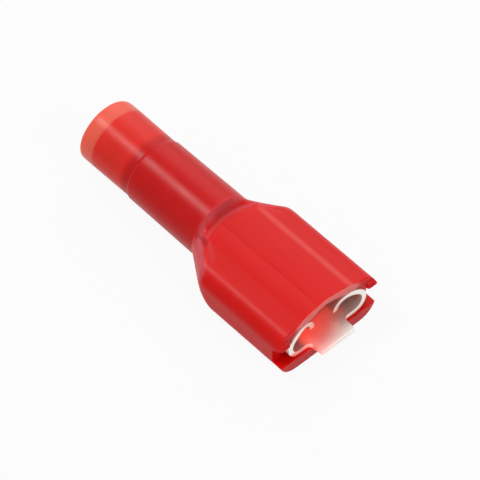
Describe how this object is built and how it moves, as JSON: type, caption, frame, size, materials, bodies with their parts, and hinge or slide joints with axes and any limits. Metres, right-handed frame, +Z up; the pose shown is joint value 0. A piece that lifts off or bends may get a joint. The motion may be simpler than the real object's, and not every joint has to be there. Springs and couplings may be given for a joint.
{
  "type": "female spade terminal",
  "caption": "Fully insulated female spade crimp terminal with a red nylon housing, a rolled brass receptacle and a metal crimp sleeve.",
  "frame": {"origin": "middle of the footprint, on the flat underside of the housing that the part rests on", "axes": "+X from the wire end to the tongue, +Y across the tab slot, +Z up from the underside to the raised panel"},
  "size_m": [0.0242, 0.0092, 0.0054],
  "materials": {
    "nylon": "satin translucent red moulding",
    "tinned_brass": "bright tin plate on rolled brass sheet",
    "tinned_copper": "tin plate on drawn copper tube"
  },
  "bodies": {
    "root": {"housing": "nylon", "receptacle": "tinned_brass", "crimp_sleeve": "tinned_copper"}
  },
  "joints": []
}
